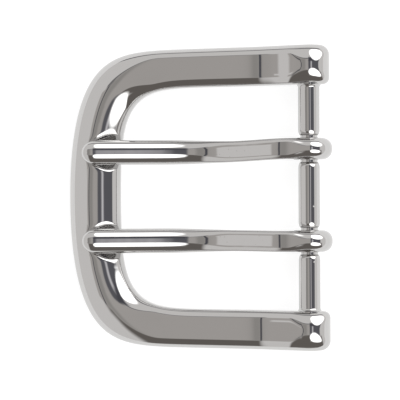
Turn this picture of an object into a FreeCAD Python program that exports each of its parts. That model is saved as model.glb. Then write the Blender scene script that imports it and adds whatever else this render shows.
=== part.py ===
import FreeCAD, Part
import math
import os

# Two-pronged belt buckle in plated die-cast zinc, lying on its back, millimetres.
# The bar that the strap folds round lies along Y through the origin, halfway between the
# arms. The bow is on the -X side, and +Z points to the front face.

# ---- overall sizes of the frame ----
opening = 40.2              # clear width between the arms at the bar, for a 38 mm strap
arm_width = 7.05            # width of an arm at the bar
reach = 43.2                # bar axis to the outside of the bow
bow_width = 9.25            # width of the bow in the middle
arm_splay = 0.0008          # how far the arms draw in towards the bow, per mm

# ---- the two outlines: straight arms that turn into the bow on a flattened ellipse ----
turn_start = 12.9           # bar axis to where the arms begin to turn
outer_turn = (6.8, 2.22)    # exponents along X and along Y
inner_turn = (5.86, 3.6)
fan_gap = 7.6               # corner sections fan out from a point this far inside the frame

# ---- heights, above the back plane unless they say otherwise ----
hook_lift = 0.245           # the hooks clear the surface that the buckle lies on
bow_height = 4.3            # ridge of the bow
arm_height = 5.35           # level part of the arms, where they start to climb to the bar
climb_back = 9.3            # bar axis to the start of the climb
climb_angle = 17.5          # degrees
climb_ease = 0.35           # height over which the climb starts softly
boss_radius = 3.7           # round end of each arm, about the bar axis
sole_length = 7.0           # the back lifts off its plane over this length, up to the boss
grind = 0.03                # the back is cast this much proud and ground flat

# ---- rounding of the frame's edges, as (across, down) ----
arm_edge_outer = (1.8, 1.8)
arm_edge_inner = (1.25, 1.25)
bow_edge_outer = (4.6, 3.5)
bow_edge_inner = (4.4, 2.8)
back_edge = 0.5
bow_turn = (97.0, 150.0)    # the arm's section turns into the bow's between these angles

# ---- bar, necks and prong places ----
bar_radius = 1.93
neck_radius = 1.525
side_play = 0.425           # hook to shoulder, on each side
shoulder = 1.1              # length over which the bar rounds down to a neck
bar_flare = 0.6             # fillet where the bar meets an arm
flare_sunk = 0.08           # the last of the fillet lies inside the arm
prong_spacing = 16.4        # between the middles of the two necks
prong_offset = 0.5          # the pair sits this far above the middle of the bar

# ---- prongs ----
bore_clearance = 0.08       # radial, hook on neck
hook_wall = 2.55            # thickness of the hook round the neck
hook_width = 3.9
hook_edge = 1.8             # rounding of the hook's outer edges
hook_slot = 0.2             # seam where the end of the hook closes against the prong
hook_slot_angle = 14.0      # degrees above the level, on the bow side
hook_lip = 0.25             # rounding at the mouths of the bore
overhang = 2.05             # how far the tip passes the ridge of the bow
nose = 2.5                  # length of the rounded nose
nose_level = 0.4            # height of the nose's point, as a share of the thickness
tip_thickness = 2.8
tip_rise = 0.19             # slope of the outer half, rising towards the tip
shank_rise = 0.333          # slope of the inner half, rising towards the bar
shank_ease = 0.5            # height over which the shank levels off above the hook
waist_ease = 1.3            # height over which the two slopes run into each other
shank_length = 4.13         # bar axis to where the shank would meet the hook's top level
tip_width = 4.4
shank_width = 3.75
shank_flat = 2.0            # flat on top of the shank
tip_flat = 0.25             # what is left of the flat on the tip and over the hook
shank_edges = (0.7, 0.4)    # height of the rounding above and below, on the shank
tip_edges = (1.5, 1.2)
shank_under = 0.5           # width of the rounding below
tip_under = 2.05
tip_sets = {"prong_upper": -0.45, "prong_lower": 0.15}   # sideways set of each tip
set_zone = (3.0, 15.0)      # distances from the bar axis over which the set comes in
hook_zone = (0.0, 4.0)      # the shank takes the hook's section
thin_zone = (4.0, 14.0)     # the hook's thickness changes to the tip's
round_zone = (14.0, 22.0)   # the flat top changes to the round one
wide_zone = (12.0, 26.0)    # the shank's width changes to the tip's

# ---- seats in the bow, each a groove under its prong's tip and a steeper one over it ----
seat_depth = 0.5            # below the ridge, in the middle of a seat
seat_radius = 5.5
seat_gap = 0.05             # prong clear of its seat
relief_slope = 0.4          # the steeper groove, deeper towards the strap
cut_tolerance = 0.001       # the grooves nearly touch faces of the bow, so they are cut with this

# ---- worked out from the sizes above ----
ARC = 0.5522847             # handle length of a cubic that follows a quarter circle
half_opening = opening / 2
half_outer = half_opening + arm_width
inner_reach = reach - bow_width
fan_back = inner_reach - fan_gap
fan_side = half_opening - fan_gap
ridge_back = reach - bow_edge_outer[0] - (bow_width - bow_edge_outer[0] - bow_edge_inner[0]) / 2
bore_radius = neck_radius + bore_clearance
hook_radius = bore_radius + hook_wall
bar_height = hook_radius + hook_lift
neck_length = hook_width + 2 * side_play
sole_lift = bar_height - boss_radius
tip_back = ridge_back + overhang
seat_height = bow_height - seat_depth
neck_places = {
    "prong_upper": prong_offset + prong_spacing / 2,
    "prong_lower": prong_offset - prong_spacing / 2,
}


def step(value, start, end):
    """0 before start, 1 after end, and smooth between."""
    t = min(max((value - start) / (end - start), 0.0), 1.0)
    return t * t * (3.0 - 2.0 * t)


def mix(first, second, share):
    return first + (second - first) * share


def upper_of(a, b, ease):
    """The larger of two heights, eased where they cross."""
    return (a + b + math.hypot(a - b, ease)) / 2


def lower_of(a, b, ease):
    return (a + b - math.hypot(a - b, ease)) / 2


def straight(a, b):
    return Part.LineSegment(a, b).toShape()


def quarter(start, corner, end):
    """A quarter of an ellipse from start to end, bulging to the corner."""
    curve = Part.BezierCurve()
    curve.setPoles([start, start + (corner - start) * ARC, end + (corner - end) * ARC, end])
    return curve.toShape()


def ring_section(place, near, far, bottom, top, edges):
    """A closed section with eight edges. place(u, z) gives a point, near and far are its
    two sides, and edges holds the (across, down) rounding of the four corners in the
    order bottom near, bottom far, top far, top near."""
    signs = ((1, 1), (-1, 1), (-1, -1), (1, -1))
    corners = ((near, bottom), (far, bottom), (far, top), (near, top))
    wire = []
    ends = []
    for (u, z), (across, down), (su, sz) in zip(corners, edges, signs):
        on_level = place(u + su * across, z)
        on_side = place(u, z + sz * down)
        pair = (on_side, on_level) if su == sz else (on_level, on_side)
        ends.append((pair[0], place(u, z), pair[1]))
    for index, (start, corner, end) in enumerate(ends):
        wire.append(quarter(start, corner, end))
        wire.append(straight(end, ends[(index + 1) % 4][0]))
    return Part.Wire(wire)


# ---- frame ----

def outline_hit(origin, angle, length, half, turn):
    """Distance from origin, at an angle, to one of the frame's two outlines."""
    near, far = 0.0, 2 * reach
    for _ in range(50):
        middle = (near + far) / 2
        x = origin[0] + middle * math.cos(angle)
        y = origin[1] + middle * math.sin(angle)
        along = max(0.0, -x - turn_start) / (length - turn_start)
        across = abs(y) / (half * (1 + arm_splay * x))
        if along ** turn[0] + across ** turn[1] < 1.0:
            near = middle
        else:
            far = middle
    return near


def crown_height(x):
    """Top of the frame above the back plane, by distance from the bar axis."""
    fall = (arm_height - bow_height) / (ridge_back - climb_back)
    level = arm_height + fall * (x + climb_back)
    rise = math.radians(climb_angle)
    touch = -boss_radius * math.sin(rise)
    if x > touch:
        return bar_height + math.sqrt(boss_radius ** 2 - x ** 2)
    boss_line = bar_height + boss_radius * math.cos(rise) + math.tan(rise) * (x - touch)
    return upper_of(level, boss_line, climb_ease)


def frame_stations():
    """Origin and direction of every section, from one end of the C to the other."""
    half = []
    arm_steps = 14
    for index in range(arm_steps):
        half.append(((-fan_back * (index / arm_steps) ** 1.5, fan_side), 90.0))
    corner_steps = 9
    for index in range(corner_steps):
        half.append(((-fan_back, fan_side), 90.0 + 90.0 * index / corner_steps))
    bow_steps = 4
    for index in range(bow_steps):
        half.append(((-fan_back, fan_side * (1 - index / bow_steps)), 180.0))
    other = [((x, -y), -angle) for (x, y), angle in reversed(half)]
    return half + [((-fan_back, 0.0), 180.0)] + other


def frame_section(origin, degrees):
    angle = math.radians(degrees)
    near = outline_hit(origin, angle, inner_reach, half_opening, inner_turn)
    far = outline_hit(origin, angle, reach, half_outer, outer_turn)
    middle_x = origin[0] + math.cos(angle) * (near + far) / 2
    bow = step(abs(degrees), *bow_turn)
    boss = step(middle_x, -sole_length, 0.0)
    top_near = [mix(a, b, bow) for a, b in zip(arm_edge_inner, bow_edge_inner)]
    top_far = [mix(a, b, bow) for a, b in zip(arm_edge_outer, bow_edge_outer)]
    bottom_near = [mix(back_edge, size, boss) for size in arm_edge_inner]
    bottom_far = [mix(back_edge, size, boss) for size in arm_edge_outer]

    def place(u, z):
        x = origin[0] + u * math.cos(angle)
        y = origin[1] + u * math.sin(angle)
        return FreeCAD.Vector(x, y, z - bar_height)

    edges = (bottom_near, bottom_far, top_far, top_near)
    bottom = mix(-grind, sole_lift, boss)
    return ring_section(place, near, far, bottom, crown_height(middle_x), edges)


def boss(side):
    """Round end of one arm: half a turn of the arm's own section about the bar axis."""
    near = side * half_opening
    far = side * half_outer
    across_in, down_in = arm_edge_inner
    across_out, down_out = arm_edge_outer

    def at(y, radius):
        return FreeCAD.Vector(0, y, radius)

    top = boss_radius
    points = [
        (at(near, top - down_in), at(near, top), at(near + side * across_in, top)),
        (at(far - side * across_out, top), at(far, top), at(far, top - down_out)),
    ]
    edges = [
        straight(at(near, 0), points[0][0]),
        quarter(*points[0]),
        straight(points[0][2], points[1][0]),
        quarter(*points[1]),
        straight(points[1][2], at(far, 0)),
        straight(at(far, 0), at(near, 0)),
    ]
    face = Part.Face(Part.Wire(edges))
    return face.revolve(FreeCAD.Vector(0, 0, 0), FreeCAD.Vector(0, 1, 0), 180)


def bar():
    """The bar with its two necks, flared where it meets the arms."""
    def at(y, radius):
        return FreeCAD.Vector(radius, y, 0)

    end = half_opening + arm_width / 2
    flare_end = half_opening + flare_sunk
    flare_start = flare_end - bar_flare
    root = bar_radius + bar_flare
    edges = [straight(at(-end, 0), at(-end, root)), straight(at(-end, root), at(-flare_end, root))]
    edges.append(quarter(at(-flare_end, root), at(-flare_end, bar_radius), at(-flare_start, bar_radius)))
    last = at(-flare_start, bar_radius)
    for place in sorted(neck_places.values()):
        low = place - neck_length / 2
        high = place + neck_length / 2
        edges.append(straight(last, at(low - shoulder, bar_radius)))
        edges.append(quarter(at(low - shoulder, bar_radius), at(low, bar_radius), at(low, neck_radius)))
        edges.append(straight(at(low, neck_radius), at(high, neck_radius)))
        last = at(high + shoulder, bar_radius)
        edges.append(quarter(at(high, neck_radius), at(high, bar_radius), last))
    edges.append(straight(last, at(flare_start, bar_radius)))
    edges.append(quarter(at(flare_start, bar_radius), at(flare_end, bar_radius), at(flare_end, root)))
    edges.append(straight(at(flare_end, root), at(end, root)))
    edges.append(straight(at(end, root), at(end, 0)))
    edges.append(straight(at(end, 0), at(-end, 0)))
    face = Part.Face(Part.Wire(edges))
    return face.revolve(FreeCAD.Vector(0, 0, 0), FreeCAD.Vector(0, 1, 0), 360)


def groove(place, slope):
    """Round-bottomed groove across the bow, as deep as a seat at the ridge."""
    angle = math.atan(slope)
    direction = FreeCAD.Vector(math.cos(angle), 0, -math.sin(angle))
    bottom = FreeCAD.Vector(-ridge_back, place, seat_height - bar_height)
    centre = bottom + FreeCAD.Vector(math.sin(angle), 0, math.cos(angle)) * seat_radius
    start = centre - direction * bow_width
    return Part.makeCylinder(seat_radius, 2 * bow_width, start, direction)


def make_frame():
    wires = [frame_section(*station) for station in frame_stations()]
    shape = Part.makeLoft(wires, True, False)
    shape = shape.fuse(boss(1)).fuse(boss(-1)).fuse(bar())
    corner = FreeCAD.Vector(-2 * reach, -2 * half_outer, -2 * bar_height)
    swarf = Part.makeBox(3 * reach, 4 * half_outer, bar_height, corner)
    shape = shape.cut(swarf)
    grooves = []
    for name, place in neck_places.items():
        seat = place + tip_sets[name]
        grooves.append(groove(seat, tip_rise))
        grooves.append(groove(seat, relief_slope))
    return shape.cut(grooves, cut_tolerance)


# ---- prongs ----

def prong_top(x):
    """Top of a prong above the back plane before its nose, by distance from the bar."""
    tip_top = seat_height + seat_gap + tip_thickness
    outer = tip_top - tip_rise * (x + ridge_back)
    hook_top = bar_height + hook_radius
    inner = hook_top + shank_rise * (x + shank_length)
    slopes = upper_of(outer, inner, waist_ease)
    return lower_of(slopes, hook_top, shank_ease)


def prong_section(x, place, tip_set):
    """One upright section of a prong, drawn in at the round nose."""
    past = max(0.0, (-tip_back + nose - x) / nose)
    swell = math.sqrt(max(0.0, 1 - past ** 2))
    rounded = step(-x, *round_zone)
    hooked = 1.0 - step(-x, *hook_zone)
    top = prong_top(x)
    bottom = top - mix(hook_wall, tip_thickness, step(-x, *thin_zone))
    level = mix(bottom, top, nose_level)
    top = mix(level, top, swell)
    bottom = mix(level, bottom, swell)
    width = mix(shank_width, tip_width, step(-x, *wide_zone))
    width = mix(width, hook_width, hooked) * swell
    flat = mix(shank_flat, tip_flat, max(rounded, hooked)) * swell
    above = mix(mix(shank_edges[0], tip_edges[0], rounded), hook_edge, hooked) * swell
    below = mix(shank_edges[1], tip_edges[1], rounded) * swell
    top_edge = ((width - flat) / 2, above)
    low_edge = (mix(shank_under, tip_under, rounded) * swell, below)
    middle = place + tip_set * step(-x, *set_zone)

    def at(u, z):
        return FreeCAD.Vector(x, middle + u, z - bar_height)

    edges = (low_edge, low_edge, top_edge, top_edge)
    return ring_section(at, -width / 2, width / 2, bottom, top, edges)


def hook(place):
    """The ring that closes round the neck."""
    def at(y, radius):
        return FreeCAD.Vector(0, place + y, radius)

    half = hook_width / 2
    shapes = []
    for side in (1, -1):
        y_flat = side * (half - hook_edge)
        y_wall = side * half
        y_bore = side * (half - hook_lip)
        outer = (at(y_flat, hook_radius), at(y_wall, hook_radius), at(y_wall, hook_radius - hook_edge))
        inner = (at(y_wall, bore_radius + hook_lip), at(y_wall, bore_radius), at(y_bore, bore_radius))
        shapes.append((outer, inner))
    (outer, inner), (outer_low, inner_low) = shapes
    edges = [
        quarter(*outer),
        straight(outer[2], inner[0]),
        quarter(*inner),
        straight(inner[2], inner_low[2]),
        quarter(*reversed(inner_low)),
        straight(inner_low[0], outer_low[2]),
        quarter(*reversed(outer_low)),
        straight(outer_low[0], outer[0]),
    ]
    face = Part.Face(Part.Wire(edges))
    return face.revolve(FreeCAD.Vector(0, 0, 0), FreeCAD.Vector(0, 1, 0), 360)


def make_prong(place, tip_set):
    shank_steps = 24
    nose_shares = (0.0, 0.3, 0.55, 0.75, 0.88, 0.96, 0.995)
    stations = [(nose - tip_back) * index / shank_steps for index in range(shank_steps)]
    stations += [nose - tip_back - nose * share for share in nose_shares]
    wires = [prong_section(x, place, tip_set) for x in stations]
    body = Part.makeLoft(wires, True, False)
    shape = body.fuse(hook(place))
    bore_start = FreeCAD.Vector(0, place - hook_width, 0)
    bore = Part.makeCylinder(bore_radius, 2 * hook_width, bore_start, FreeCAD.Vector(0, 1, 0))
    slot_origin = FreeCAD.Vector(-2 * hook_radius, place - hook_width, -hook_slot / 2)
    slot = Part.makeBox(2 * hook_radius, 2 * hook_width, hook_slot, slot_origin)
    slot.rotate(FreeCAD.Vector(0, 0, 0), FreeCAD.Vector(0, 1, 0), hook_slot_angle)
    return shape.cut([bore, slot])


# ---- writing ----

def write(shape, node):
    solids = shape.Solids
    print(node, "solids", len(solids), "valid", shape.isValid(), "volume mm3", round(shape.Volume, 1))
    box = shape.BoundBox
    print("   x", round(box.XMin, 2), round(box.XMax, 2), "y", round(box.YMin, 2), round(box.YMax, 2),
          "z", round(box.ZMin, 2), round(box.ZMax, 2))
    shape = solids[0] if len(solids) == 1 else shape
    shape.exportStep("parts/" + node + ".step")


os.makedirs("parts", exist_ok=True)
write(make_frame(), "frame")
for name, neck in neck_places.items():
    write(make_prong(neck, tip_sets[name]), name)
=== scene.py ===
# %% [markdown]
# # A two-pronged belt buckle, bright chrome on die-cast zinc
#
# The buckle lies on its back. The bar that the strap folds round runs along Y through the
# origin, the bow is on the -X side and +Z points to the front face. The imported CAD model
# gives the frame to build on. Each casting is then made again here as a fine mesh of the
# same size, because chrome is a mirror: it shows every facet of a coarse mesh.

# %% The frame to build on
import math

import bmesh
import bpy
import numpy as np
from mathutils import Matrix, Vector


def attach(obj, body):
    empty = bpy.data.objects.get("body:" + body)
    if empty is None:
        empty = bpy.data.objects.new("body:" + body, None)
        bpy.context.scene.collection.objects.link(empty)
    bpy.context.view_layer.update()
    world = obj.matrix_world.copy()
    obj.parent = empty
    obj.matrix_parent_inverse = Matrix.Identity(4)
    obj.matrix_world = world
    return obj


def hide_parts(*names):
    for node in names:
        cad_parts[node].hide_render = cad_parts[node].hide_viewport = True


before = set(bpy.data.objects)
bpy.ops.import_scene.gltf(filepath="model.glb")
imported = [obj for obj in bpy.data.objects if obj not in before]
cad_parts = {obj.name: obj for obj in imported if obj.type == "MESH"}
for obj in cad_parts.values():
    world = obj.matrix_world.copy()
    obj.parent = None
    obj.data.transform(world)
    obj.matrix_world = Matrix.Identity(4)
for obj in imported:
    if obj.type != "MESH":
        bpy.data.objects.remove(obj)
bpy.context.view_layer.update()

MM = 0.001

# %% [markdown]
# ## Sizes of the frame
#
# These are the CAD model's own sizes, in millimetres. Heights in this block are above the
# back plane that the buckle lies on. The outside and the inside of the frame are straight
# arms that turn into the bow on a flattened ellipse, which is how a die maker would draw
# them, so a formula is used and not a list of points.

# %% Sizes of the frame
OPENING, ARM_WIDTH, REACH, BOW_WIDTH, ARM_SPLAY = 40.2, 7.05, 43.2, 9.25, 0.0008
TURN_START, OUTER_TURN, INNER_TURN, FAN_GAP = 12.9, (6.8, 2.22), (5.86, 3.6), 7.6
BOW_HEIGHT, ARM_HEIGHT, BOSS_RADIUS, SOLE_LENGTH = 4.3, 5.35, 3.7, 7.0
CLIMB_BACK, CLIMB_ANGLE, CLIMB_EASE = 9.3, 17.5, 0.35
ARM_EDGE_OUTER, ARM_EDGE_INNER = (1.8, 1.8), (1.25, 1.25)
BOW_EDGE_OUTER, BOW_EDGE_INNER = (4.6, 3.5), (4.4, 2.8)
BACK_EDGE, BOW_TURN = 0.5, (97.0, 150.0)

HALF_OPENING = OPENING / 2
HALF_OUTER = HALF_OPENING + ARM_WIDTH
INNER_REACH = REACH - BOW_WIDTH
FAN_BACK = INNER_REACH - FAN_GAP
FAN_SIDE = HALF_OPENING - FAN_GAP
RIDGE_BACK = REACH - BOW_EDGE_OUTER[0] - (BOW_WIDTH - BOW_EDGE_OUTER[0] - BOW_EDGE_INNER[0]) / 2
print("frame", round(REACH + BOSS_RADIUS, 2), "by", 2 * HALF_OUTER, "mm")

# %% [markdown]
# ## Sizes of the bar and the prongs
#
# The prongs are set by the necks they turn on: the bore by the neck and a clearance, the
# hook by the bore and its wall, and the height of the bar by the hook. The seats in the bow
# are set by the prongs' own slope and place.

# %% Sizes of the bar and the prongs
BAR_RADIUS, NECK_RADIUS, SIDE_PLAY, SHOULDER = 1.93, 1.525, 0.425, 1.1
BAR_FLARE, FLARE_SUNK, PRONG_SPACING, PRONG_OFFSET = 0.6, 0.08, 16.4, 0.5
BORE_CLEARANCE, HOOK_WALL, HOOK_WIDTH, HOOK_EDGE, HOOK_LIP = 0.08, 2.55, 3.9, 1.8, 0.25
HOOK_SLOT, HOOK_SLOT_ANGLE, HOOK_LIFT = 0.2, 14.0, 0.245
OVERHANG, NOSE, NOSE_LEVEL, TIP_THICKNESS, TIP_RISE = 2.05, 2.5, 0.4, 2.8, 0.19
SHANK_RISE, SHANK_EASE, WAIST_EASE, SHANK_LENGTH = 0.333, 0.5, 1.3, 4.13
TIP_WIDTH, SHANK_WIDTH, SHANK_FLAT, TIP_FLAT = 4.4, 3.75, 2.0, 0.25
SHANK_EDGES, TIP_EDGES, SHANK_UNDER, TIP_UNDER = (0.7, 0.4), (1.5, 1.2), 0.5, 2.05
SET_ZONE, HOOK_ZONE, THIN_ZONE = (3.0, 15.0), (0.0, 4.0), (4.0, 14.0)
ROUND_ZONE, WIDE_ZONE = (14.0, 22.0), (12.0, 26.0)
SEAT_DEPTH, SEAT_RADIUS, SEAT_GAP, RELIEF_SLOPE = 0.5, 5.5, 0.05, 0.4

BORE_RADIUS = NECK_RADIUS + BORE_CLEARANCE
HOOK_RADIUS = BORE_RADIUS + HOOK_WALL
BAR_HEIGHT = HOOK_RADIUS + HOOK_LIFT
NECK_LENGTH = HOOK_WIDTH + 2 * SIDE_PLAY
TIP_BACK = RIDGE_BACK + OVERHANG
SEAT_HEIGHT = BOW_HEIGHT - SEAT_DEPTH
NECK_PLACES = {
    "prong_upper": PRONG_OFFSET + PRONG_SPACING / 2,
    "prong_lower": PRONG_OFFSET - PRONG_SPACING / 2,
}
TIP_SETS = {"prong_upper": -0.45, "prong_lower": 0.15}
print("prongs", round(TIP_BACK + HOOK_RADIUS, 2), "mm long, bar", BAR_HEIGHT, "mm above the back")

# %% [markdown]
# ## Easing
#
# A casting that has been tumbled and polished has no hard corner between two slopes. These
# few functions blend one size or height into another, and everything below uses them.

# %% Easing
def step(value, start, end):
    """0 before start, 1 after end, and smooth between."""
    t = min(max((value - start) / (end - start), 0.0), 1.0)
    return t * t * (3.0 - 2.0 * t)


def mix(first, second, share):
    return first + (second - first) * share


def upper_of(a, b, ease):
    """The larger of two heights, eased where they cross."""
    return (a + b + math.hypot(a - b, ease)) / 2


def lower_of(a, b, ease):
    return (a + b - math.hypot(a - b, ease)) / 2


# %% [markdown]
# ## One section
#
# Every part of this buckle is a rounded bar of some kind, so one function draws a closed
# section: two sides, a top and a bottom, and four rounded corners. The points always come
# in the same order, and halfway up each side there is always a point. Sections can then be
# joined one to the next into even bands of four-sided faces.

# %% One section
CORNER_STEPS, SIDE_STEPS, LEVEL_STEPS = 16, 6, 10


def straight_run(start, end, count):
    share = np.arange(count)[:, None] / count
    return np.array(start) * (1 - share) + np.array(end) * share


def corner_run(centre, across, down, start_degrees, ridge=2.0, count=CORNER_STEPS):
    """A quarter of an ellipse. A ridge below 2 draws its level end nearer to a point."""
    angle = np.radians(start_degrees + 90.0 * np.arange(count) / count)
    level = np.sign(np.cos(angle)) * np.abs(np.cos(angle)) ** (2.0 / ridge)
    return np.stack([centre[0] + across * level, centre[1] + down * np.sin(angle)], axis=1)


def rounded_section(near, far, bottom, top, edges, ridge=2.0):
    """Points (u, z) of a closed section. edges holds (across, down) for the corners bottom
    near, bottom far, top far and top near; ridge is for the top far corner."""
    (a0, d0), (a1, d1), (a2, d2), (a3, d3) = edges
    near_middle = (near, (bottom + d0 + top - d3) / 2)
    far_middle = (far, (bottom + d1 + top - d2) / 2)
    half = SIDE_STEPS // 2
    return np.concatenate([
        straight_run(near_middle, (near, bottom + d0), half),
        corner_run((near + a0, bottom + d0), a0, d0, 180),
        straight_run((near + a0, bottom), (far - a1, bottom), LEVEL_STEPS),
        corner_run((far - a1, bottom + d1), a1, d1, 270),
        straight_run((far, bottom + d1), far_middle, half),
        straight_run(far_middle, (far, top - d2), half),
        corner_run((far - a2, top - d2), a2, d2, 0, ridge),
        straight_run((far - a2, top), (near + a3, top), LEVEL_STEPS),
        corner_run((near + a3, top - d3), a3, d3, 90),
        straight_run((near, top - d3), near_middle, half),
    ])


SECTION_POINTS = 2 * SIDE_STEPS + 2 * LEVEL_STEPS + 4 * CORNER_STEPS
print("points in a section", SECTION_POINTS)

# %% [markdown]
# ## From points to a mesh
#
# A mesh is a list of points and a list of faces. The helper below takes both in
# millimetres, turns every face outwards and shades it smooth, leaving an edge sharp only
# where the real casting has one.

# %% From points to a mesh
SHARP_FROM = math.radians(50)
MERGE_DISTANCE = 0.001


def bands(rings):
    """Faces between rings of points that follow each other, each ring closed on itself."""
    faces = []
    for lower, upper in zip(rings, rings[1:]):
        count = len(lower)
        for i in range(count):
            j = (i + 1) % count
            faces.append((lower[i], lower[j], upper[j], upper[i]))
    return faces


def mesh_piece(name, points, faces):
    mesh = bpy.data.meshes.new(name)
    mesh.from_pydata([tuple(float(c) * MM for c in point) for point in points], [], faces)
    work = bmesh.new()
    work.from_mesh(mesh)
    bmesh.ops.remove_doubles(work, verts=work.verts, dist=MERGE_DISTANCE * MM)
    bmesh.ops.recalc_face_normals(work, faces=work.faces)
    open_edges = sum(1 for edge in work.edges if len(edge.link_faces) != 2)
    work.to_mesh(mesh)
    work.free()
    mesh.shade_smooth()
    mesh.set_sharp_from_angle(angle=SHARP_FROM)
    piece = bpy.data.objects.new(name, mesh)
    bpy.context.scene.collection.objects.link(piece)
    print(name, len(mesh.vertices), "points", len(mesh.polygons), "faces", open_edges, "open edges")
    return piece


# %% [markdown]
# ## The line of the frame
#
# A section of the frame stands across the arm or the bow. Along the arms the sections are
# parallel; round each corner they fan out from one point inside the frame, and across the
# bow they are parallel again. Where such a line meets the outside or the inside of the
# frame is found by halving a distance until it is close enough.

# %% The line of the frame
HALVINGS = 44


def outline_hit(origin, angle, length, half, turn):
    near, far = 0.0, 2 * REACH
    for _ in range(HALVINGS):
        middle = (near + far) / 2
        x = origin[0] + middle * math.cos(angle)
        y = origin[1] + middle * math.sin(angle)
        along = max(0.0, -x - TURN_START) / (length - TURN_START)
        across = abs(y) / (half * (1 + ARM_SPLAY * x))
        if along ** turn[0] + across ** turn[1] < 1.0:
            near = middle
        else:
            far = middle
    return near


ARM_STATIONS, CORNER_STATIONS, BOW_STATIONS = 90, 72, 60
ARM_CROWDING = 1.15  # above 1, sections stand closer together near the boss


def frame_stations():
    """Origin and direction of each section, from one end of the frame to the other."""
    half = []
    for index in range(ARM_STATIONS):
        half.append(((-FAN_BACK * (index / ARM_STATIONS) ** ARM_CROWDING, FAN_SIDE), 90.0))
    for index in range(CORNER_STATIONS):
        half.append(((-FAN_BACK, FAN_SIDE), 90.0 + 90.0 * index / CORNER_STATIONS))
    for index in range(BOW_STATIONS):
        half.append(((-FAN_BACK, FAN_SIDE * (1 - index / BOW_STATIONS)), 180.0))
    other = [((x, -y), -angle) for (x, y), angle in reversed(half)]
    return half + [((-FAN_BACK, 0.0), 180.0)] + other


print("stations along the frame", len(frame_stations()))

# %% [markdown]
# ## The height of the frame
#
# The arms are level, then climb to a round boss at the end of the bar, which lifts the bar
# off the table so that the strap can pass under it. The bow lies lower than the arms.
#
# Some sizes below aren't the CAD model's. The bosses are crowned on top, the bow's outer side
# has a sharper ridge, the arms' inner edges are rounded wider, and the upper arm's climb
# swells a little. They are fitted to where the reflections fall.

# %% The height of the frame
ROUND_RIDGE = 2.0  # the power of a plain ellipse


def crown_height(x):
    """Top of the frame above the back plane, by distance from the bar."""
    fall = (ARM_HEIGHT - BOW_HEIGHT) / (RIDGE_BACK - CLIMB_BACK)
    level = ARM_HEIGHT + fall * (x + CLIMB_BACK)
    rise = math.radians(CLIMB_ANGLE)
    touch = -BOSS_RADIUS * math.sin(rise)
    if x > touch:
        return BAR_HEIGHT + math.sqrt(BOSS_RADIUS ** 2 - x ** 2)
    boss_line = BAR_HEIGHT + BOSS_RADIUS * math.cos(rise) + math.tan(rise) * (x - touch)
    return upper_of(level, boss_line, CLIMB_EASE)


CROWN_OUTER, CROWN_INNER, CROWN_ZONE = (3.5, 2.0), (3.2, 2.0), (-3.6, -0.4)
SOFT_EDGE_INNER = (1.75, 1.25)
BOW_RIDGE, BOW_TURN_OUTER = 1.65, (91.0, 140.0)
CLIMB_SWELL, CLIMB_ZONE = 0.06, (-9.0, 0.4)


def climb_swell(x):
    """Height added to the upper arm's climb. It is steepest halfway up, which gives that
    arm its band of light."""
    share = (x - CLIMB_ZONE[0]) / (CLIMB_ZONE[1] - CLIMB_ZONE[0])
    if not 0 < share < 1:
        return 0.0
    return -CLIMB_SWELL * math.sin(2 * math.pi * share) * math.sin(math.pi * share) ** 2


def frame_section(origin, degrees):
    """Points of one section of the frame, in the frame's own axes."""
    angle = math.radians(degrees)
    near = outline_hit(origin, angle, INNER_REACH, HALF_OPENING, INNER_TURN)
    far = outline_hit(origin, angle, REACH, HALF_OUTER, OUTER_TURN)
    middle_x = origin[0] + math.cos(angle) * (near + far) / 2
    bow, bow_outer = step(abs(degrees), *BOW_TURN), step(abs(degrees), *BOW_TURN_OUTER)
    boss = step(middle_x, -SOLE_LENGTH, 0.0)
    crown = step(middle_x, *CROWN_ZONE)
    inner_edges = zip(SOFT_EDGE_INNER, BOW_EDGE_INNER, CROWN_INNER)
    outer_edges = zip(ARM_EDGE_OUTER, BOW_EDGE_OUTER, CROWN_OUTER)
    top_near = [mix(mix(arm, bowed, bow), crowned, crown) for arm, bowed, crowned in inner_edges]
    top_far = [mix(mix(arm, bowed, bow_outer), crowned, crown) for arm, bowed, crowned in outer_edges]
    low_near = [mix(BACK_EDGE, size, boss) for size in ARM_EDGE_INNER]
    low_far = [mix(BACK_EDGE, size, boss) for size in ARM_EDGE_OUTER]
    bottom = mix(0.0, BAR_HEIGHT - BOSS_RADIUS, boss)
    top = crown_height(middle_x) + (climb_swell(middle_x) if degrees > 0 else 0.0)
    loop = rounded_section(near, far, bottom, top, (low_near, low_far, top_far, top_near),
                           mix(ROUND_RIDGE, BOW_RIDGE, bow_outer))
    x = origin[0] + loop[:, 0] * math.cos(angle)
    y = origin[1] + loop[:, 0] * math.sin(angle)
    return np.stack([x, y, loop[:, 1] - BAR_HEIGHT], axis=1)


# %% [markdown]
# ## Seats in the bow
#
# Each prong rests in a shallow groove across the bow. A round cutter would make it: one
# pass in line with the prong, and a steeper pass towards the strap. Instead of cutting the
# mesh, the points of the bow that stand above the cutter are pushed down to it, with a
# small ease that leaves the soft lip of a polished edge.

# %% Seats in the bow
SEAT_LIP = 0.12
SEAT_REACH = 3 * SEAT_LIP  # points lower than this under the cutter are left alone
NEARLY_WHOLE = 0.999  # keeps the groove's side short of upright


def groove_height(x, y, place, slope):
    """Height of a round-bottomed groove above the bar's axis at (x, y)."""
    across = np.minimum(np.abs(y - place), SEAT_RADIUS * NEARLY_WHOLE)
    round_part = (SEAT_RADIUS - np.sqrt(SEAT_RADIUS ** 2 - across ** 2)) * math.hypot(1, slope)
    return SEAT_HEIGHT - BAR_HEIGHT - slope * (x + RIDGE_BACK) + round_part


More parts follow.
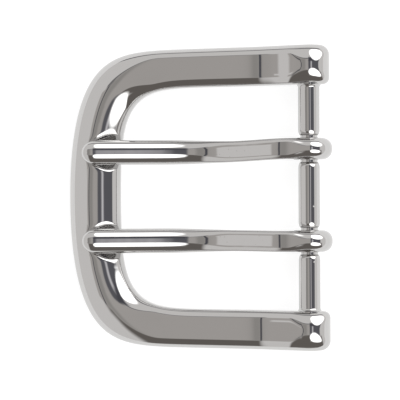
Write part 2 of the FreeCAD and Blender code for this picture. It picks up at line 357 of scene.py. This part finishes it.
def sink_seats(points):
    """The same points, with those of the bow that stand in a groove pushed down to it."""
    x, y, z = points[:, 0], points[:, 1], points[:, 2]
    for name, place in NECK_PLACES.items():
        seat = place + TIP_SETS[name]
        for slope in (TIP_RISE, RELIEF_SLOPE):
            floor = groove_height(x, y, seat, slope)
            in_groove = (x < -FAN_BACK) & (np.abs(y - seat) < SEAT_RADIUS)
            high_enough = (z > floor - SEAT_REACH) & (z > -BAR_HEIGHT + BACK_EDGE)
            eased = (z + floor - np.hypot(z - floor, SEAT_LIP)) / 2
            z = np.where(in_groove & high_enough, np.minimum(z, eased), z)
    return np.stack([x, y, z], axis=1)


# %% [markdown]
# ## The C of the frame
#
# The sections are joined into one tube. Each end of the tube is closed by turning the top
# half of the last section half round the bar's axis, which makes the round boss.

# %% The C of the frame
BOSS_STEPS, CROWN_TURN = 48, (15.0, 75.0)


def boss_profile(side, crown):
    """Half a section of the boss as (y, radius), from its inner side to its outer side."""
    inner = [mix(a, b, crown) for a, b in zip(ARM_EDGE_INNER, CROWN_INNER)]
    outer = [mix(a, b, crown) for a, b in zip(ARM_EDGE_OUTER, CROWN_OUTER)]
    edges = (inner, outer, outer, inner)
    loop = rounded_section(HALF_OPENING, HALF_OUTER, -BOSS_RADIUS, BOSS_RADIUS, edges)
    upper = [0] + [len(loop) - i for i in range(1, len(loop) // 2)] + [len(loop) // 2]
    return [(side * loop[i][0], loop[i][1]) for i in upper]


def close_boss(points, faces, ring, side):
    """Turn the upper half of the ring about the Y axis until it meets the lower half. The
    boss is crowned on top and plainer round its end."""
    count = len(ring)
    upper = [ring[0]] + [ring[count - i] for i in range(1, count // 2)] + [ring[count // 2]]
    lower = [ring[0]] + [ring[i] for i in range(1, count // 2)] + [ring[count // 2]]
    previous = upper
    for turn in range(1, BOSS_STEPS + 1):
        angle = math.pi * turn / BOSS_STEPS
        if turn == BOSS_STEPS:
            current = lower
        else:
            profile = boss_profile(side, 1.0 - step(math.degrees(angle), *CROWN_TURN))
            current = [upper[0]]
            for y, radius in profile[1:-1]:
                points.append((radius * math.sin(angle), y, radius * math.cos(angle)))
                current.append(len(points) - 1)
            current.append(upper[-1])
        for i in range(len(upper) - 1):
            corners = [previous[i], previous[i + 1], current[i + 1], current[i]]
            faces.append(tuple(dict.fromkeys(corners)))
        previous = current


sections = [frame_section(*station) for station in frame_stations()]
frame_points = [tuple(point) for point in sink_seats(np.concatenate(sections))]
frame_rings = [
    list(range(i * SECTION_POINTS, (i + 1) * SECTION_POINTS)) for i in range(len(sections))
]
frame_faces = bands(frame_rings)
close_boss(frame_points, frame_faces, frame_rings[0], 1)
close_boss(frame_points, frame_faces, frame_rings[-1], -1)
frame_casting = mesh_piece("frame_casting", frame_points, frame_faces)

# %% [markdown]
# ## The bar
#
# The bar is cast with the arms. It has a fillet at each end and two turned-down necks, each
# a little longer than the hook that goes round it. A profile of radius against length is
# turned round the Y axis, as a lathe would do it.

# %% The bar
BAR_AROUND = 72


def quarter_profile(start, end, hollow, count=10):
    """Points from start to end on a quarter ellipse, as (place, radius). A hollow quarter
    leaves start along the bar, and the other kind leaves it square to the bar."""
    angle = np.linspace(0, math.pi / 2, count, endpoint=False)
    along, out = (np.sin(angle), 1 - np.cos(angle)) if hollow else (1 - np.cos(angle), np.sin(angle))
    return [(mix(start[0], end[0], a), mix(start[1], end[1], o)) for a, o in zip(along, out)]


def level_profile(start, end, radius, pitch=0.5):
    count = max(2, round((end - start) / pitch))
    return [(mix(start, end, i / count), radius) for i in range(count)]


def bar_profile():
    flare_end = HALF_OPENING + FLARE_SUNK
    flare_start = flare_end - BAR_FLARE
    root = BAR_RADIUS + BAR_FLARE
    buried = HALF_OPENING + ARM_WIDTH / 3
    profile = [(-buried, root)] + quarter_profile((-flare_end, root), (-flare_start, BAR_RADIUS), False)
    last = -flare_start
    for place in sorted(NECK_PLACES.values()):
        low, high = place - NECK_LENGTH / 2, place + NECK_LENGTH / 2
        profile += level_profile(last, low - SHOULDER, BAR_RADIUS)
        profile += quarter_profile((low - SHOULDER, BAR_RADIUS), (low, NECK_RADIUS), True)
        profile += level_profile(low, high, NECK_RADIUS)
        profile += quarter_profile((high, NECK_RADIUS), (high + SHOULDER, BAR_RADIUS), False)
        last = high + SHOULDER
    profile += level_profile(last, flare_start, BAR_RADIUS)
    profile += quarter_profile((flare_start, BAR_RADIUS), (flare_end, root), True)
    return profile + [(flare_end, root), (buried, root)]


bar_points, bar_rings = [], []
for place, radius in bar_profile():
    bar_rings.append(list(range(len(bar_points), len(bar_points) + BAR_AROUND)))
    for angle in np.arange(BAR_AROUND) * 2 * math.pi / BAR_AROUND:
        bar_points.append((radius * math.sin(angle), place, radius * math.cos(angle)))
bar_faces = bands(bar_rings) + [tuple(bar_rings[0]), tuple(bar_rings[-1])]
strap_bar = mesh_piece("strap_bar", bar_points, bar_faces)

# %% [markdown]
# ## One casting
#
# The bar runs into the arms with no joint line, so the two meshes are united by the exact
# boolean solver. Two small specks stand on the bar, as castings often have where the die is
# worn, and they are united with it too.

# %% One casting
SPECK_RADIUS, SPECK_SUNK, SPECK_LEAN = 0.17, 0.3, 26.0
SPECK_PLACES = (-1.56, -11.4)


def cast_speck(place):
    """A speck of metal on the bar, sunk into it by a share of its radius."""
    work = bmesh.new()
    bmesh.ops.create_uvsphere(work, u_segments=20, v_segments=12, radius=SPECK_RADIUS * MM)
    mesh = bpy.data.meshes.new("cast_speck")
    work.to_mesh(mesh)
    work.free()
    speck = bpy.data.objects.new("cast_speck", mesh)
    bpy.context.scene.collection.objects.link(speck)
    angle, out = math.radians(SPECK_LEAN), BAR_RADIUS - SPECK_SUNK * SPECK_RADIUS
    speck.location = Vector((out * math.sin(angle), place, out * math.cos(angle))) * MM
    return speck


def unite(piece, other):
    join = piece.modifiers.new("unite", "BOOLEAN")
    join.operation = "UNION"
    join.solver = "EXACT"
    join.object = other
    depsgraph = bpy.context.evaluated_depsgraph_get()
    mesh = bpy.data.meshes.new_from_object(piece.evaluated_get(depsgraph))
    piece.modifiers.clear()
    piece.data = mesh
    bpy.data.objects.remove(other)
    mesh.shade_smooth()
    mesh.set_sharp_from_angle(angle=SHARP_FROM)
    print(piece.name, "united,", len(mesh.vertices), "points", len(mesh.polygons), "faces")


unite(frame_casting, strap_bar)
for speck_place in SPECK_PLACES:
    unite(frame_casting, cast_speck(speck_place))

# %% [markdown]
# ## A prong
#
# A prong is one casting too. Its section changes from a hook that closes round the neck, to
# a flat-topped shank, to an almost round tip that ends in a rounded nose. Upright sections
# run from the nose to the bar, and then the sections turn with the hook, right round the
# bar, to the seam where the hook's end was pressed shut against the shank.

# %% A prong's sections
UNDER_EASE = 0.12


def prong_top(x):
    """Top of a prong above the back plane before its nose, by distance from the bar."""
    tip_top = SEAT_HEIGHT + SEAT_GAP + TIP_THICKNESS
    outer = tip_top - TIP_RISE * (x + RIDGE_BACK)
    hook_top = BAR_HEIGHT + HOOK_RADIUS
    inner = hook_top + SHANK_RISE * (x + SHANK_LENGTH)
    return lower_of(upper_of(outer, inner, WAIST_EASE), hook_top, SHANK_EASE)


def prong_underside(x, top):
    """Underside of the shank, which comes down to the seam and then follows the bore."""
    plain = top - mix(HOOK_WALL, TIP_THICKNESS, step(-x, *THIN_ZONE))
    if x > -BORE_RADIUS * math.cos(math.radians(HOOK_SLOT_ANGLE)):
        return BAR_HEIGHT + math.sqrt(BORE_RADIUS ** 2 - x ** 2)
    seam = BAR_HEIGHT + math.tan(math.radians(HOOK_SLOT_ANGLE)) * -x + HOOK_SLOT / 2
    return lower_of(plain, seam, UNDER_EASE) if x < -HOOK_RADIUS + 1 else min(plain, seam)


def prong_section(x, past=0.0):
    """Loop of points (u, z) of an upright section at x; past is the share of the nose."""
    swell = math.sqrt(max(0.0, 1 - past ** 2))
    rounded = step(-x, *ROUND_ZONE)
    hooked = 1.0 - step(-x, *HOOK_ZONE)
    top = prong_top(x)
    bottom = prong_underside(x, top)
    level = mix(bottom, top, NOSE_LEVEL)
    top = mix(level, top, swell)
    bottom = mix(level, bottom, swell)
    width = mix(mix(SHANK_WIDTH, TIP_WIDTH, step(-x, *WIDE_ZONE)), HOOK_WIDTH, hooked) * swell
    flat = mix(SHANK_FLAT, TIP_FLAT, max(rounded, hooked)) * swell
    above = mix(mix(SHANK_EDGES[0], TIP_EDGES[0], rounded), HOOK_EDGE, hooked) * swell
    below = mix(mix(SHANK_EDGES[1], TIP_EDGES[1], rounded), HOOK_LIP, hooked) * swell
    under = mix(mix(SHANK_UNDER, TIP_UNDER, rounded), HOOK_LIP, hooked) * swell
    high_edge, low_edge = ((width - flat) / 2, above), (under, below)
    edges = (low_edge, low_edge, high_edge, high_edge)
    return rounded_section(-width / 2, width / 2, bottom, top, edges)


# %% [markdown]
# ## A prong's mesh
#
# The sections are joined from the nose to the seam. The nose is closed on one point, and the
# hook's cut end is closed flat, a hair short of the shank.

# %% A prong's mesh
SHANK_STATIONS, NOSE_STATIONS, HOOK_STATIONS = 150, 16, 64
SHANK_CROWDING = 1.25  # above 1, sections stand closer together near the hook


def prong_mesh(name, node):
    place, tip_set = NECK_PLACES[node], TIP_SETS[node]
    rings = []
    nose_start = NOSE - TIP_BACK
    for index in range(NOSE_STATIONS - 1, 0, -1):
        past = math.sin(math.pi / 2 * index / NOSE_STATIONS)
        rings.append((nose_start - NOSE * past, past))
    for index in range(SHANK_STATIONS + 1):
        share = 1 - index / SHANK_STATIONS
        rings.append((nose_start * share ** SHANK_CROWDING, 0.0))
    points = []
    for x, past in rings:
        loop = prong_section(x, past)
        middle = place + tip_set * step(-x, *SET_ZONE)
        points.append([(x, middle + u, z - BAR_HEIGHT) for u, z in loop])
    half = HOOK_WIDTH / 2
    high_edge, lip = ((HOOK_WIDTH - TIP_FLAT) / 2, HOOK_EDGE), (HOOK_LIP, HOOK_LIP)
    hook_edges = (lip, lip, high_edge, high_edge)
    hook_loop = rounded_section(-half, half, BORE_RADIUS, HOOK_RADIUS, hook_edges)
    seam_angle = math.radians(270 + HOOK_SLOT_ANGLE)
    last_angle = seam_angle - math.asin(HOOK_SLOT / BORE_RADIUS)
    for index in range(1, HOOK_STATIONS + 1):
        angle = last_angle * index / HOOK_STATIONS
        points.append([(r * math.sin(angle), place + u, r * math.cos(angle)) for u, r in hook_loop])
    along = (math.sin(seam_angle), math.cos(seam_angle))
    back = (-math.cos(seam_angle) * HOOK_SLOT / 2, math.sin(seam_angle) * HOOK_SLOT / 2)
    points.append([(r * along[0] + back[0], place + u, r * along[1] + back[1]) for u, r in hook_loop])
    flat = [point for loop in points for point in loop]
    loops = [list(range(i * SECTION_POINTS, (i + 1) * SECTION_POINTS)) for i in range(len(points))]
    faces = bands(loops)
    first = points[0]
    level = mix(prong_underside(-TIP_BACK, prong_top(-TIP_BACK)), prong_top(-TIP_BACK), NOSE_LEVEL)
    flat.append((-TIP_BACK, place + tip_set, level - BAR_HEIGHT))
    for i in range(len(first)):
        faces.append((loops[0][i], loops[0][(i + 1) % len(first)], len(flat) - 1))
    faces.append(tuple(loops[-1]))
    return mesh_piece(name, flat, faces)


upper_prong = prong_mesh("upper_prong_casting", "prong_upper")
lower_prong = prong_mesh("lower_prong_casting", "prong_lower")

# %% [markdown]
# ## Bright chrome plating
#
# The castings are zinc, polished, and plated with copper, nickel and a last thin layer of
# chromium. To the eye that is a nearly perfect neutral mirror, a little darker than silver.
# Polishing by hand and in a drum leaves faint long waves and a few tiny pits that only show
# where a reflection bends over them. The frame has the longer, smoother waves, and the
# prongs have shorter ones and pits.

# %% Colours and nodes
def linear(hex_colour):
    """An sRGB hex colour as a linear RGBA value."""
    channels = [int(hex_colour[i:i + 2], 16) / 255 for i in (1, 3, 5)]
    levels = [c / 12.92 if c <= 0.04045 else ((c + 0.055) / 1.055) ** 2.4 for c in channels]
    return tuple(levels) + (1.0,)


def add_node(tree, kind, settings=None, links=None):
    """One node with its settings and its incoming links. Number keys and names both name a
    socket, and a setting that isn't a socket is a property of the node."""
    node = tree.nodes.new(kind)
    for key, value in (settings or {}).items():
        if isinstance(key, str) and hasattr(node, key):
            setattr(node, key, value)
        else:
            node.inputs[key].default_value = value
    for key, source in (links or {}).items():
        tree.links.new(source, node.inputs[key])
    return node


# %% [markdown]
# ## The plating's surface
#
# Waves are a smooth noise some millimetres long and a few thousandths of a millimetre high,
# and pits are spots about a tenth of a millimetre across. Both are bump, because they are
# far too shallow to change the outline.

# %% Bright chrome plating
CHROME, CHROME_ROUGHNESS = "#C3C2C1", 0.03
PIT_SPACING_MM, PIT_SHARE = 0.9, 0.11


def bright_chrome(name, wave_mm, wave_height_mm, pit_height_mm=0.0):
    """A neutral mirror, faintly rolling, with pits where a height is given for them."""
    material = bpy.data.materials.new(name)
    material.use_nodes = True
    tree = material.node_tree
    tree.nodes.clear()
    place = add_node(tree, "ShaderNodeTexCoord").outputs["Object"]
    waves = add_node(tree, "ShaderNodeTexNoise", {"Scale": 1 / (wave_mm * MM), "Detail": 1.0},
                     {"Vector": place})
    surface = add_node(tree, "ShaderNodeBump", {"Distance": wave_height_mm * MM, "Strength": 1.0},
                       {"Height": waves.outputs[0]})
    if pit_height_mm:
        pits = add_node(tree, "ShaderNodeTexVoronoi", {"Scale": 1 / (PIT_SPACING_MM * MM)},
                        {"Vector": place})
        pit_edge = add_node(tree, "ShaderNodeMapRange",
                            {"interpolation_type": "SMOOTHSTEP", "From Min": 0.0, "From Max": PIT_SHARE},
                            {"Value": pits.outputs["Distance"]})
        surface = add_node(tree, "ShaderNodeBump", {"Distance": pit_height_mm * MM, "Strength": 1.0},
                           {"Height": pit_edge.outputs[0], "Normal": surface.outputs[0]})
    shader = add_node(tree, "ShaderNodeBsdfPrincipled",
                      {"Base Color": linear(CHROME), "Metallic": 1.0, "Roughness": CHROME_ROUGHNESS},
                      {"Normal": surface.outputs[0]})
    add_node(tree, "ShaderNodeOutputMaterial", links={"Surface": shader.outputs[0]})
    print("material", name, len(tree.nodes), "nodes")
    return material


# Hand polishing leaves long waves, so the frame's reflections bend slowly.
frame_chrome = bright_chrome("chrome on polished die-cast zinc, frame", 6.0, 0.012)
# A tumbling drum leaves shorter waves and doesn't reach the pits.
prong_chrome = bright_chrome("chrome on tumbled die-cast zinc, prongs", 3.0, 0.009, 0.004)

# %% [markdown]
# ## Fitting the pieces
#
# Each piece rides on its CAD body, so that it moves with the joint, and takes its finish;
# the CAD node it stands for is hidden.

# %% Fitting the pieces
for piece, body, material_slot, material in (
    (frame_casting, "frame", "frame_plating", frame_chrome),
    (upper_prong, "prong_upper", "prong_plating", prong_chrome),
    (lower_prong, "prong_lower", "prong_plating", prong_chrome),
):
    piece.data.materials.clear()
    piece.data.materials.append(material)
    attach(piece, body)
    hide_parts(body)
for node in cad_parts.values():
    node.data.materials.clear()
    node.data.materials.append(frame_chrome)

# %% [markdown]
# ## The table
#
# The buckle lies on a white table lit from inside and from above, so that the table stays
# pure white and only the faintest shade lies under the castings.

# %% The table
TABLE_SIDE, TABLE_GAP = 4.0, 1e-5
TABLE_COLOUR, TABLE_GLOW, TABLE_ROUGHNESS = "#8F8F8F", 0.84, 0.9
table_mesh = bpy.data.meshes.new("white_table")
corner = TABLE_SIDE / 2
table_corners = [(x * corner, y * corner, 0) for x, y in ((-1, -1), (1, -1), (1, 1), (-1, 1))]
table_mesh.from_pydata(table_corners, [], [(0, 1, 2, 3)])
white_table = bpy.data.objects.new("white_table", table_mesh)
bpy.context.scene.collection.objects.link(white_table)
white_table.location = (0, 0, -BAR_HEIGHT * MM - TABLE_GAP)
table_material = bpy.data.materials.new("white acrylic, lit")
table_material.use_nodes = True
table_shader = table_material.node_tree.nodes["Principled BSDF"]
table_shader.inputs["Base Color"].default_value = linear(TABLE_COLOUR)
table_shader.inputs["Roughness"].default_value = TABLE_ROUGHNESS
table_shader.inputs["Specular IOR Level"].default_value = 0.0
table_shader.inputs["Emission Color"].default_value = linear("#FFFFFF")
table_shader.inputs["Emission Strength"].default_value = TABLE_GLOW
table_mesh.materials.append(table_material)

# %% [markdown]
# ## The studio
#
# Chrome has no colour of its own to speak of: what it shows is the room. The room here is a
# pale tent with a grey ceiling panel, dark gaps and two soft lamps. It is painted on the
# world by direction, as a chart of the sky: how far a direction leans from straight up,
# towards +X and towards +Y, in degrees.

# %% The studio
world = bpy.data.worlds.new("light tent")
bpy.context.scene.world = world
world.use_nodes = True
sky = world.node_tree
sky.nodes.clear()


def sky_math(operation, first, second=None, third=None):
    """One step of arithmetic on the sky's chart; numbers and links may be mixed."""
    node = sky.nodes.new("ShaderNodeMath")
    node.operation = operation
    for index, value in enumerate((first, second, third)):
        if value is None:
            continue
        if isinstance(value, (int, float)):
            node.inputs[index].default_value = value
        else:
            sky.links.new(value, node.inputs[index])
    return node.outputs[0]


direction = add_node(sky, "ShaderNodeTexCoord").outputs["Generated"]
axes = add_node(sky, "ShaderNodeSeparateXYZ", links={0: direction}).outputs
lean = sky_math("MULTIPLY", sky_math("ARCCOSINE", axes[2]), 180 / math.pi)
squares = [sky_math("MULTIPLY", axis, axis) for axis in (axes[0], axes[1])]
NEVER_ZERO = 1e-4
level_length = sky_math("MAXIMUM", sky_math("SQRT", sky_math("ADD", *squares)), NEVER_ZERO)
spread = sky_math("DIVIDE", lean, level_length)
lean_x = sky_math("MULTIPLY", axes[0], spread)
lean_y = sky_math("MULTIPLY", axes[1], spread)

# %% [markdown]
# ## Cards and lamps
#
# Each card hides what is under it on the chart. The cards were placed to suit the view from
# above, so they are a made-up room. The strip beside the ceiling is there only to light the
# prongs' slopes and leave the arms grey.

# %% Cards
def lit(hex_colour, strength=1.0):
    return tuple(channel * strength for channel in linear(hex_colour)[:3]) + (1.0,)


def card(under, name, x_range, y_range, soft, colour, turned=0.0, rounded=False):
    """Lay a card over what is under it. Ranges and softness are degrees of lean, turned
    turns it about its middle, and a rounded card is an ellipse."""
    turn = math.radians(turned)
    half_x, half_y = (x_range[1] - x_range[0]) / 2, (y_range[1] - y_range[0]) / 2
    x = sky_math("SUBTRACT", lean_x, sum(x_range) / 2)
    y = sky_math("SUBTRACT", lean_y, sum(y_range) / 2)
    along = sky_math("MULTIPLY_ADD", x, math.cos(turn), sky_math("MULTIPLY", y, math.sin(turn)))
    across = sky_math("MULTIPLY_ADD", y, math.cos(turn), sky_math("MULTIPLY", x, -math.sin(turn)))
    if rounded:
        share_x = sky_math("DIVIDE", along, half_x)
        share_y = sky_math("DIVIDE", across, half_y)
        square_y = sky_math("MULTIPLY", share_y, share_y)
        share = sky_math("SQRT", sky_math("MULTIPLY_ADD", share_x, share_x, square_y))
        past = sky_math("MULTIPLY", sky_math("SUBTRACT", share, 1.0), min(half_x, half_y))
    else:
        past = sky_math("MAXIMUM", sky_math("SUBTRACT", sky_math("ABSOLUTE", along), half_x),
                        sky_math("SUBTRACT", sky_math("ABSOLUTE", across), half_y))
    edge = add_node(sky, "ShaderNodeMapRange",
                    {"interpolation_type": "SMOOTHSTEP", "From Min": -soft, "From Max": soft,
                     "To Min": 1.0, "To Max": 0.0}, {"Value": past})
    laid = add_node(sky, "ShaderNodeMix", {"data_type": "RGBA", 7: colour},
                    {0: edge.outputs[0], 6: under})
    laid.label = name
    return laid.outputs[2]


# %% The room on the chart
WHITE_CLOTH, GREY_CARD, SHADED_CARD, PALE_SLIT = "#F3F1F0", "#C8C4C1", "#AEABA8", "#F0EEF2"
DARK_GAP, DIM_GAP, DARK_SIDE, LAMP = "#5C5C63", "#6E6E74", "#78736F", "#FFFFFF"
LAMP_STRENGTH = 3.0

CARDS = (
    # name, degrees along X, degrees along Y, softness, colour
    ("dark side towards -Y", (-30, 66), (-84, -12), 5.0, DARK_SIDE),
    ("edge of the ceiling, +Y", (-34, 8), (19.5, 22.5), 1.2, DARK_GAP),
    ("seam of the tent, +Y", (-60, 60), (71, 77), 2.0, DARK_GAP),
    ("grey ceiling", (-39.4, 4), (-14, 19), 1.0, GREY_CARD),
    ("strip beside the ceiling", (-70, -36.4), (-2.0, 2.0), 0.5, WHITE_CLOTH),
    ("shade of the ceiling", (-31, -14), (-14, 19), 6.0, SHADED_CARD),
    ("seam of the ceiling", (-31.5, -29.0), (-14, 19), 0.8, DARK_GAP),
    ("dim gap towards +X", (2, 58), (-16, 16), 2.5, DIM_GAP),
    ("pale slit in the gap", (14.5, 20.5), (-12, 12), 3.5, PALE_SLIT),
    ("dark gap towards +X", (2, 58), (12, 26), 3.5, DARK_GAP),
    ("panel towards -Y", (7, 58), (-38, -12), 5.0, WHITE_CLOTH),
)
LAMPS = (
    # name, degrees along X, degrees along Y, softness, degrees turned
    ("lamp towards -Y", (3, 59), (-43, -8), 3.0, -12),
    ("lamp towards +Y", (4, 72), (16, 64), 3.0, -30),
)
tent = add_node(sky, "ShaderNodeRGB")
tent.outputs[0].default_value = lit(WHITE_CLOTH)
sky_now = tent.outputs[0]
for name, x_range, y_range, soft, colour in CARDS:
    sky_now = card(sky_now, name, x_range, y_range, soft, lit(colour))
for name, x_range, y_range, soft, turned in LAMPS:
    lamp_light = lit(LAMP, LAMP_STRENGTH)
    sky_now = card(sky_now, name, x_range, y_range, soft, lamp_light, turned, rounded=True)

# %% [markdown]
# ## Lighting the room
#
# The metal sees the room, and the camera sees a plain white backdrop past the table's edge.

# %% Lighting the room
BACKDROP_STRENGTH = 1.05
unseen = add_node(sky, "ShaderNodeLightPath").outputs["Is Camera Ray"]
room = add_node(sky, "ShaderNodeBackground", links={"Color": sky_now})
backdrop = add_node(sky, "ShaderNodeBackground", {"Color": lit("#FFFFFF", BACKDROP_STRENGTH)})
shown = add_node(sky, "ShaderNodeMixShader",
                 links={0: unseen, 1: room.outputs[0], 2: backdrop.outputs[0]})
add_node(sky, "ShaderNodeOutputWorld", links={"Surface": shown.outputs[0]})
print("sky nodes", len(sky.nodes))

# %% [markdown]
# ## The camera
#
# The camera looks down from half a metre, leaning a few degrees towards the bar side. The
# lens is long, so the near and far parts of the buckle keep nearly one scale.

# %% The camera
CAMERA_DISTANCE, CAMERA_LEAN = 500.0, 4.5
VIEW_MIDDLE, VIEW_WIDTH, CAMERA_ROLL = (-19.46, -0.31), 71.28, 0.3
SENSOR_WIDTH, CLIP_START, CLIP_END = 36, 0.01, 10
camera_data = bpy.data.cameras.new("camera")
camera = bpy.data.objects.new("camera", camera_data)
bpy.context.scene.collection.objects.link(camera)
bpy.context.scene.camera = camera
lean_angle = math.radians(CAMERA_LEAN)
target = Vector((VIEW_MIDDLE[0], VIEW_MIDDLE[1], 0)) * MM
towards_camera = Vector((math.sin(lean_angle), 0, math.cos(lean_angle)))
camera.location = target + towards_camera * CAMERA_DISTANCE * MM
leaned = Matrix.Rotation(lean_angle, 3, "Y")
rolled = Matrix.Rotation(-math.radians(CAMERA_ROLL), 3, "Z")
camera.rotation_euler = (leaned @ rolled).to_euler()
camera_data.sensor_width = SENSOR_WIDTH
camera_data.lens = camera_data.sensor_width * CAMERA_DISTANCE / VIEW_WIDTH
camera_data.clip_start = CLIP_START
camera_data.clip_end = CLIP_END
bpy.context.scene.view_settings.view_transform = "Standard"
bpy.context.scene.view_settings.look = "None"
print("lens", round(camera_data.lens, 1), "mm")

# %% [markdown]
# ## The size of the pieces
#
# The finished pieces should fill the same box as the CAD model. A helper rounds a box's corners.

# %% The size of the pieces
bpy.context.view_layer.update()


def plain(box):
    return [[round(float(c), 6) for c in corner] for corner in box]
